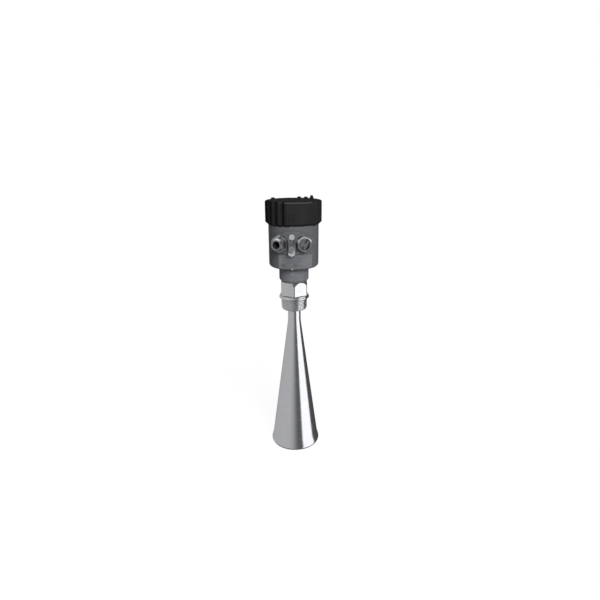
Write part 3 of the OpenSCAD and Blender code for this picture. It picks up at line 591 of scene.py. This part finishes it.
def horn():
    """A spun horn: neck, cone, flare and a lip that turns in at the mouth. The profile, up
    the outside and down the inside, has rounded corners and is carried round the axis."""
    low, high = (np.array(corner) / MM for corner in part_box("horn_antenna"))
    mouth, top = low[2], high[2]
    wall, lip = 1.5, 1.05
    neck_r, cone_r, mouth_r = 9.5, 35.35, 37.75
    made = turned("spun_horn", [
        (mouth_r - lip, mouth, 0.15),
        (mouth_r, mouth + 2.1, 0.7),
        (mouth_r, mouth + 3.7, 0.8),
        (cone_r, mouth + 11.9, 4.0),
        (neck_r, mouth + 205.3, 5.0),
        (neck_r, top, 0.2),
        (neck_r - wall, top, 0.2),
        (neck_r - wall, mouth + 205.2, 5.0),
        (cone_r - wall, mouth + 12.1, 4.0),
        (mouth_r - wall, mouth + 3.8, 1.4),
        (mouth_r - wall, mouth, 0.1),
    ], steel, columns=192, steps=8)
    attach(made, "process_side")
    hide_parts("horn_antenna")


process_fitting()
horn()


# ---------------------------------------------------------------- head's small pieces


def name_plate():
    """A thin plate glued round the head under the entries: its section follows the wall
    and bends in over the head's lower corner."""
    first, last = math.radians(-32), math.radians(49)
    thick = 0.25
    bend = np.radians(np.linspace(32, 0, 7)[:-1])
    centre_r, centre_z = HEAD_R - HEAD_CORNER, HEAD_FOOT + HEAD_CORNER
    wall_rows, plate_top = 12, 69.6
    middle = np.concatenate([
        np.stack([centre_r + HEAD_CORNER * np.cos(bend), centre_z - HEAD_CORNER * np.sin(bend)], -1),
        np.stack([np.full(wall_rows, HEAD_R), np.linspace(centre_z, plate_top, wall_rows)], -1),
    ])
    out = np.concatenate([
        np.stack([np.cos(bend), -np.sin(bend)], -1),
        np.tile([1.0, 0.0], (wall_rows, 1)),
    ])
    outer, inner = middle + out * thick, middle - out * 0.2
    edge = outer * 0.9 + middle * 0.1
    loop = np.concatenate([inner[:1], edge[:1], outer[1:-1], edge[-1:], inner[-1:], inner[1:-1][::-1]])
    angle = np.linspace(first, last, 90)
    grow = np.ones_like(angle)
    r = loop[:, 0][:, None] * grow
    z = loop[:, 1][:, None] * grow
    points = np.stack([r * np.sin(angle), -r * np.cos(angle), z], -1)
    made = surface("name_plate", points, label_film(), closed_u=True)
    close_ends(made, len(loop), len(angle))
    made.data.set_sharp_from_angle(angle=math.radians(30))
    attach(made, "head")


def close_ends(made, rows, columns):
    """Closes the first and last column of a tube-like grid with one face each."""
    mesh = made.data
    points = np.empty(len(mesh.vertices) * 3, np.float32)
    mesh.vertices.foreach_get("co", points)
    quads = np.empty(len(mesh.polygons) * 4, np.int32)
    mesh.loops.foreach_get("vertex_index", quads)
    faces = [list(q) for q in quads.reshape(-1, 4)]
    faces.append([row * columns for row in range(rows)])
    faces.append([row * columns + columns - 1 for row in reversed(range(rows))])
    material = mesh.materials[0]
    closed = bpy.data.meshes.new(mesh.name)
    closed.from_pydata(points.reshape(-1, 3), [], faces)
    closed.shade_smooth()
    closed.materials.append(material)
    made.data = closed


def label_film():
    """Dark grey film with faint bars and blocks in place of print, and a painted highlight
    towards its left end. Across is measured along the wall, in millimetres from the front."""
    f = Finish("label_film", (0.19, 0.195, 0.205), 0.38, Specular_IOR_Level=0.6)
    x, y, z = f.axes()
    across = x.maths("ARCTAN2", x, 0 - y) * HEAD_R
    # Each bar's left and right end, middle height and height
    bars = [
        (-14, 4, 66.4, 1.5), (8, 22, 66.4, 1.5), (-14, 16, 63.4, 0.8), (-14, -2, 61.2, 0.8),
        (2, 24, 61.2, 0.8), (-14, 9, 59.0, 0.8), (14, 20, 59.0, 0.8), (2, 7, 55.6, 3.2),
        (-16, -9, 55.2, 4.4), (12, 25, 55.0, 0.8), (12, 21, 53.2, 0.8),
    ]
    ink = None
    for left, right, middle, tall in bars:
        inside = (((right - left) / 2 - (across - (left + right) / 2).size()) / 0.3).clip()
        inside = inside * ((tall / 2 - (z - middle).size()) / 0.3).clip()
        ink = inside if ink is None else ink.larger(inside)
    grain = f.noise(0.5, 2)
    # Painted highlight: the film grows paler past 9 mm left of the front
    edge = (-9 - across).larger(0) * 0.05
    base = (grain * 0.6 + edge).ramp((0.15, (0.114, 0.117, 0.125)), (0.95, (0.22, 0.225, 0.235)))
    f.set(Base_Color=(ink * 0.8).between(base, (0.088, 0.090, 0.097)))
    f.set(Roughness=0.34 + 0.1 * grain)
    f.relief(grain * 0.6 + ink * 0.4, 0.006, 0.1)
    return f.material


def outward_points(points, angle, height):
    """Points around +Z turned so that +Z points out of the head, at an angle from the front."""
    turn = Matrix.Rotation(angle, 3, "Z") @ Matrix.Rotation(math.pi / 2, 3, "X")
    return points @ np.array(turn).T + np.array([0, 0, height])


def outward_turned(name, corners, material, angle, height, columns=64, steps=5):
    """A ring-shaped solid that points out of the head: a closed path of (radius, distance
    from the instrument's axis) carried round a line at an angle from the front."""
    path = rounded(corners, steps)
    a = np.linspace(0, 2 * math.pi, columns + 1)[:-1]
    r, a = np.meshgrid(path[:, 0], a, indexing="ij")
    z = np.broadcast_to(path[:, 1][:, None], r.shape)
    points = outward_points(np.stack([r * np.cos(a), r * np.sin(a), z], -1).reshape(-1, 3), angle, height)
    return surface(name, points.reshape(*r.shape, 3), material, True, True)


def locking_screw():
    """The swivel's locking screw: a coated round head that fills its recess, with a small
    socket, on a plain shank that reaches into the spigot's groove. The path stays a
    hair's width off its own axis."""
    made = outward_turned("swivel_lock", [
        (0.05, 14.6, 0),
        (2.3, 14.6, 0.2),
        (2.3, 19.2, 0),
        (3.6, 19.25, 0.1),
        (3.6, 21.5, 0.5),
        (1.45, 21.7, 0.15),
        (1.45, 20.2, 0),
        (0.05, 20.0, 0),
    ], soft("lock_screw_grey", (0.22, 0.225, 0.235), 0.4), 0, LOCK_Z)
    made.data.set_sharp_from_angle(angle=math.radians(35))
    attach(made, "head")
    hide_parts("locking_screw")


def gland_thread():
    """The ridge of the gland's outer thread, which the cap nut runs on: a shallow helical
    trapezoid round a sleeve."""
    angle = np.linspace(0, 2 * math.pi, 97)[:-1]
    start, end = 44.0, 48.2
    inner, outer = 7.55, 7.79
    pitch, depth = 1.5, 0.27
    rows = []

    def row(radius, height):
        rows.append(np.stack([radius + 0 * angle, np.full_like(angle, height)], -1))

    row(inner, start)
    row(outer, start)
    for height in np.arange(start + 0.05, end, ROW_STEP):
        turn = (height / pitch - angle / (2 * math.pi)) % 1
        ridge = np.clip((1 - np.abs(2 * turn - 1)) / 0.8, 0, 1)
        row(outer + depth * ridge * smooth((height - start) / 0.5) * smooth((end - height) / 0.5), height)
    row(outer, end)
    row(inner, end)
    grid = np.stack(rows)
    r, z = grid[..., 0], grid[..., 1]
    points = np.stack([r * np.cos(angle), r * np.sin(angle), z], -1).reshape(-1, 3)
    points = outward_points(points, -ENTRY_ANGLE, ENTRY_Z)
    made = surface("gland_thread", points.reshape(*r.shape, 3), plate, True, True)
    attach(made, "head")


name_plate()
locking_screw()
gland_thread()


# ---------------------------------------------------------------- studio


def bare_material(name):
    """A material without a shader, and a wire to start its nodes from."""
    material = bpy.data.materials.new(name)
    material.use_nodes = True
    tree = material.node_tree
    tree.nodes.remove(tree.nodes["Principled BSDF"])
    return material, Wire(tree, None)


def glow(name, attribute):
    """A light-giving material whose colour an attribute of the mesh carries."""
    material, start = bare_material(name)
    shade = start.out(start.node("ShaderNodeAttribute", {"attribute_name": attribute}))
    lamp = start.node("ShaderNodeEmission", None, Color=shade, Strength=1.0)
    start.tree.links.new(lamp.outputs[0], start.tree.nodes["Material Output"].inputs["Surface"])
    return material


def studio_dome():
    """A dome that only mirrors see. Near the horizon and below, its brightness follows the
    angle round the instrument: mid grey on the left, a dark flag, a white softbox, then a
    dark back. Overhead it is white, and lower so at the back."""
    # Angles in degrees from the camera's side, and how bright the dome is there
    bands = [
        (-180, 0.30), (-165, 0.36), (-140, 0.44), (-120, 0.48), (-30, 0.50),
        (-9, 0.38), (8, 0.17), (20, 0.11), (35.5, 0.12), (38.5, 1.25),
        (94, 1.25), (98, 0.09), (165, 0.06), (180, 0.30),
    ]
    a, e = np.meshgrid(np.linspace(-180, 180, 361), np.linspace(-89.5, 89.5, 180), indexing="xy")
    level = np.interp(a, [b[0] for b in bands], [b[1] for b in bands])
    # A dark field ahead over the softbox, a dim ring straight below
    ahead = smooth((a + 14) / 10) * smooth((112 - a) / 20) * smooth((e - 10) / 8)
    level = level * (1 - ahead) + 0.12 * ahead
    below = smooth((-44 - e) / 6)
    level = level * (1 - below) + 0.14 * below
    # White ceiling
    back = smooth((np.abs(a) - 138) / 16)
    rim = 48 - 42 * back
    ceiling = smooth((e - rim) / 14)
    level = level * (1 - ceiling) + 1.25 * ceiling
    turn, lift = np.radians(a) + FRONT, np.radians(e)
    facing = np.stack([np.sin(turn) * np.cos(lift), -np.cos(turn) * np.cos(lift), np.sin(lift)], -1)
    dome = surface("studio_dome", DOME_R * facing, glow("studio_dome", "bands"))
    shade = dome.data.attributes.new("bands", "FLOAT_COLOR", "POINT")
    level = level.ravel()
    colour = np.stack([level, level, level * 1.02, np.ones_like(level)], -1)
    shade.data.foreach_set("color", colour.ravel().astype(np.float32))
    dome.visible_camera = dome.visible_diffuse = dome.visible_shadow = False


def floor():
    """A round pale floor under the horn's mouth; its rim fades into the white room."""
    radius = np.linspace(0.0005, 1.0, 40) ** 1.5 * FLOOR_R
    angle = np.linspace(0, 2 * math.pi, 97)[:-1]
    r, a = np.meshgrid(radius, angle, indexing="ij")
    points = np.stack([r * np.sin(a), r * np.cos(a), np.full_like(r, cad_low[2] / MM - 0.2)], -1)
    # Light falls on a matt floor. The eye sees a faint shadow on white in its place, and
    # further out the white of the room.
    material, start = bare_material("floor")
    matt = start.node("ShaderNodeBsdfDiffuse", None, Color=(0.80, 0.80, 0.80))
    shaded = start.node("ShaderNodeBsdfDiffuse", None, Color=(0.12, 0.12, 0.12))
    white_room = start.node("ShaderNodeEmission", None, Color=(1, 1, 1), Strength=1.0)
    nearly_white = start.node("ShaderNodeEmission", None, Color=(1, 1, 1), Strength=0.93)
    place = start.out(start.node("ShaderNodeTexCoord"), "Object")
    split = place.node("ShaderNodeSeparateXYZ", None, Vector=place)
    out = reach(place.out(split, 0), place.out(split, 1))
    seen = start.out(start.node("ShaderNodeLightPath"), "Is Camera Ray")
    lit = start.node("ShaderNodeAddShader")
    near = start.node("ShaderNodeMixShader", None, Fac=seen)
    far = start.node("ShaderNodeMixShader", None, Fac=((out - 0.25) / 0.25).clip() * seen)
    for source, socket in (
        (shaded, lit.inputs[0]), (nearly_white, lit.inputs[1]),
        (matt, near.inputs[1]), (lit, near.inputs[2]),
        (near, far.inputs[1]), (white_room, far.inputs[2]),
        (far, start.tree.nodes["Material Output"].inputs["Surface"]),
    ):
        start.tree.links.new(source.outputs[0], socket)
    made = surface("floor", points, material, closed_v=True)
    made.visible_glossy = False


def room():
    """White all round for the eye and for mirrors, a plain grey light for matt surfaces."""
    world = bpy.data.worlds.new("room")
    bpy.context.scene.world = world
    world.use_nodes = True
    tree = world.node_tree
    start = Wire(tree, None)
    path = start.node("ShaderNodeLightPath")
    seen = start.out(path, "Is Camera Ray") + start.out(path, "Is Glossy Ray")
    seen = seen + start.out(path, "Is Transmission Ray")
    plug(tree, tree.nodes["Background"].inputs["Strength"], WORLD + (1 - WORLD) * seen.clip())
    plug(tree, tree.nodes["Background"].inputs["Color"], (1.0, 1.0, 1.0))


def softbox(name, azimuth, elevation, distance, size, power):
    """A square lamp that faces the head from an angle round the instrument, in degrees and
    metres. Mirrors don't see it; the dome is there for them."""
    data = bpy.data.lights.new(name, "AREA")
    data.size = size
    data.energy = power
    lamp = bpy.data.objects.new(name, data)
    bpy.context.scene.collection.objects.link(lamp)
    a, e = math.radians(azimuth) + FRONT, math.radians(elevation)
    back = np.array([math.sin(a) * math.cos(e), -math.cos(a) * math.cos(e), math.sin(e)])
    lamp.location = back * distance + np.array([0, 0, 0.05])
    lamp.rotation_mode = "QUATERNION"
    lamp.rotation_quaternion = Vector(-back).to_track_quat("-Z", "Y")
    lamp.visible_glossy = False


def camera():
    """Stands in front of the entries and a little above the lid, looking down."""
    data = bpy.data.cameras.new("camera")
    data.lens = 27.28
    data.sensor_width = 36
    made = bpy.data.objects.new("camera", data)
    bpy.context.scene.collection.objects.link(made)
    down, roll = math.radians(17.4), math.radians(-0.30)
    round_to_front = Matrix.Rotation(FRONT, 3, "Z")
    tilt = Matrix.Rotation(math.pi / 2 - down, 3, "X") @ Matrix.Rotation(roll, 3, "Z")
    made.location = round_to_front @ Vector((0.0087, -0.6495, 0.198))
    made.rotation_mode = "QUATERNION"
    made.rotation_quaternion = (round_to_front @ tilt).to_quaternion()
    bpy.context.scene.camera = made


camera()
studio_dome()
floor()
room()
softbox("key", azimuth=24, elevation=26, distance=1.4, size=0.5, power=13)
softbox("fill", azimuth=5, elevation=30, distance=1.6, size=0.8, power=8)
softbox("back", azimuth=178, elevation=5, distance=1.5, size=0.7, power=16)

bpy.context.scene.view_settings.view_transform = "Standard"
